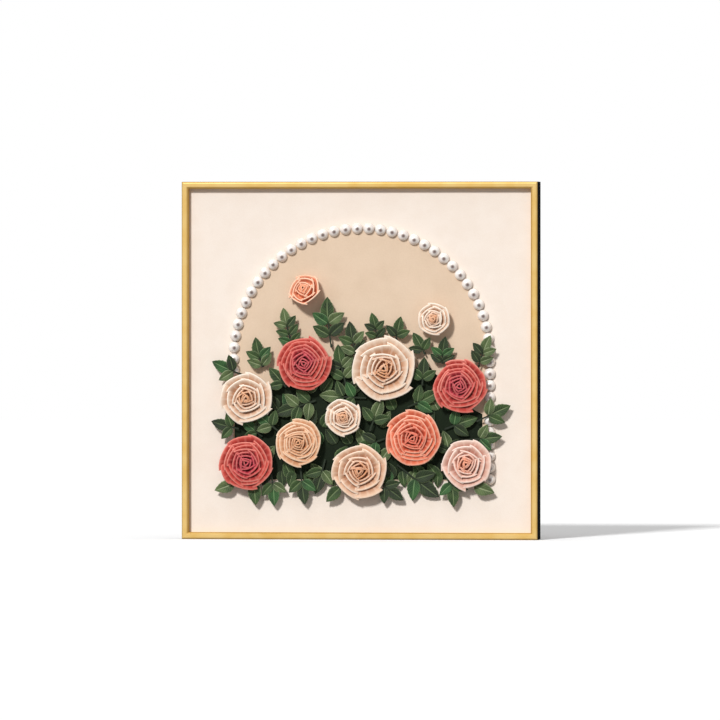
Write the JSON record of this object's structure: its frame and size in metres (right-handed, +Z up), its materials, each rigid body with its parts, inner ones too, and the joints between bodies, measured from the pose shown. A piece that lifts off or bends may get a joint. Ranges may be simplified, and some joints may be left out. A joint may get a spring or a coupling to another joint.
{
  "type": "framed quilled paper flower relief",
  "caption": "Square box frame holding wound paper roses and folded leaf sprigs on a card panel edged with a pearl arch.",
  "frame": {"origin": "middle of the lower rail's underside, half way through the frame's depth", "axes": "+Z up the picture, +X to the viewer's right, -Y out of the picture towards the viewer"},
  "size_m": [0.31, 0.0413, 0.31],
  "materials": {
    "gilt_black_moulding": "gilt front face with satin black sides",
    "dart_steel": "plain",
    "hanger_steel": "zinc plated",
    "cream_sheet": "matt, fine felt texture",
    "backing_fibreboard": "smooth hardboard",
    "beige_card": "matt",
    "pearl_white": "pearl gloss",
    "leaf_paper": "matt",
    "red_paper": "matt",
    "coral_paper": "matt",
    "tan_paper": "matt",
    "peach_paper": "matt",
    "cream_paper": "matt",
    "blush_paper": "matt"
  },
  "bodies": {
    "root": {"arch_card": "beige_card", "arch_pearls": "pearl_white", "background_sheet": "cream_sheet", "backing_board": "backing_fibreboard", "backing_darts": "dart_steel", "bed_leaves": "leaf_paper", "bottom_rail": "gilt_black_moulding", "hanger_screws": "hanger_steel", "leaf_ground": "leaf_paper", "left_rail": "gilt_black_moulding", "right_rail": "gilt_black_moulding", "rose_blush_bottom": "blush_paper", "rose_bud_peach": "peach_paper", "rose_coral_lower_right": "coral_paper", "rose_cream_centre": "cream_paper", "rose_cream_far_left": "cream_paper", "rose_cream_small": "cream_paper", "rose_cream_top_right": "cream_paper", "rose_pink_lower_right": "blush_paper", "rose_red_left": "red_paper", "rose_red_lower_left": "red_paper", "rose_red_right": "red_paper", "rose_tan_lower_left": "tan_paper", "sawtooth_hanger": "hanger_steel", "sprig_above_cream_left": "leaf_paper", "sprig_above_cream_right": "leaf_paper", "sprig_below_top_right_a": "leaf_paper", "sprig_below_top_right_b": "leaf_paper", "sprig_between_red_cream": "leaf_paper", "sprig_bottom_big": "leaf_paper", "sprig_bottom_centre_left": "leaf_paper", "sprig_bottom_centre_right": "leaf_paper", "sprig_bottom_far_left": "leaf_paper", "sprig_bottom_left_a": "leaf_paper", "sprig_bottom_left_b": "leaf_paper", "sprig_bottom_left_c": "leaf_paper", "sprig_bottom_left_d": "leaf_paper", "sprig_bottom_right_a": "leaf_paper", "sprig_bottom_right_b": "leaf_paper", "sprig_centre_dark": "leaf_paper", "sprig_centre_right_low": "leaf_paper", "sprig_centre_right_up": "leaf_paper", "sprig_far_left": "leaf_paper", "sprig_inner_left": "leaf_paper", "sprig_left_gap_a": "leaf_paper", "sprig_left_gap_b": "leaf_paper", "sprig_left_gap_c": "leaf_paper", "sprig_left_upper": "leaf_paper", "sprig_red_left_below": "leaf_paper", "sprig_red_left_side": "leaf_paper", "sprig_right_inner": "leaf_paper", "sprig_right_low_a": "leaf_paper", "sprig_right_low_b": "leaf_paper", "sprig_right_outer": "leaf_paper", "sprig_right_top": "leaf_paper", "sprig_small_rose_below": "leaf_paper", "sprig_small_rose_right": "leaf_paper", "sprig_under_bud": "leaf_paper", "sprig_upper_pair": "leaf_paper", "top_rail": "gilt_black_moulding"}
  },
  "joints": []
}
